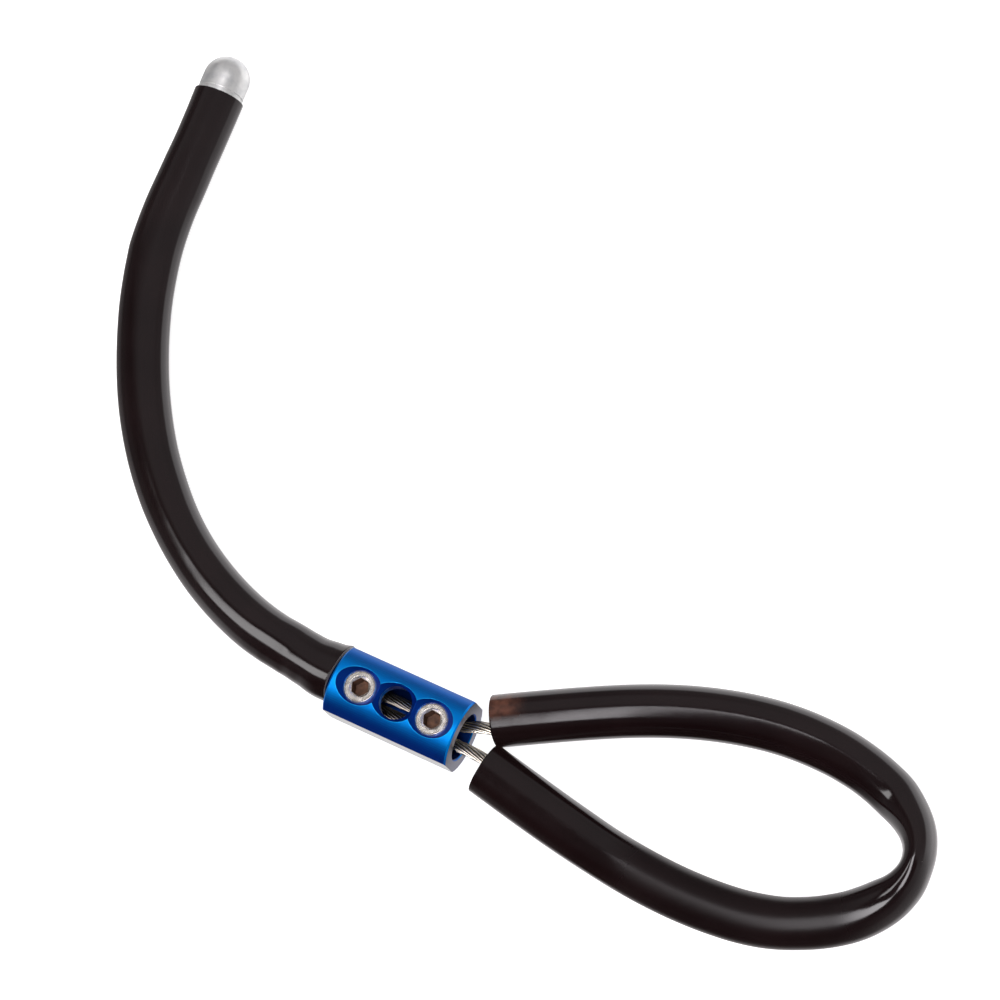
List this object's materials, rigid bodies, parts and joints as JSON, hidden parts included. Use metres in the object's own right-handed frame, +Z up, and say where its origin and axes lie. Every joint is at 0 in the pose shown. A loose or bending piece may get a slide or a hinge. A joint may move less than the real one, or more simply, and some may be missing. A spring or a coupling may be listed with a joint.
{
  "type": "climbing cable loop with clamp and stiff tail",
  "caption": "Sleeved steel cable loop held by a round two-screw clamp, with a stiff curved sleeved tail that ends in a domed metal cap.",
  "frame": {"origin": "on the surface that the object lies on, under the middle of the clamp body's full length, its spigot included", "axes": "+X along the clamp from the tail to the loop, +Z up through the set screws"},
  "size_m": [0.2534, 0.1515, 0.019],
  "materials": {
    "anodised_clamp": "blue anodised, satin; bare light grey metal on the side flats and the end faces",
    "screw_steel": "stainless, satin, with a dark socket",
    "cable_steel": "stranded stainless wire",
    "loop_tube": "glossy near-black extruded plastic tube, brown where light passes",
    "tail_tube": "glossy near-black extruded plastic tube",
    "cap_aluminium": "satin turned aluminium",
    "ferrule_aluminium": "plain pressed aluminium"
  },
  "bodies": {
    "clamp": {"clamp_body": "anodised_clamp", "wire_cable": "cable_steel", "loop_sleeve": "loop_tube", "tail_sleeve": "tail_tube", "tail_end_cap": "cap_aluminium", "tail_crimp_ferrule": "ferrule_aluminium"},
    "loop_side_screw": {"set_screw_loop_side": "screw_steel"},
    "tail_side_screw": {"set_screw_tail_side": "screw_steel"}
  },
  "joints": [
    {"name": "loop_side_screw_travel", "type": "slide", "parent": "clamp", "child": "loop_side_screw", "axis": [0, 0, 1], "range_m": [0, 0.0065]},
    {"name": "tail_side_screw_travel", "type": "slide", "parent": "clamp", "child": "tail_side_screw", "axis": [0, 0, 1], "range_m": [0, 0.0065]}
  ]
}
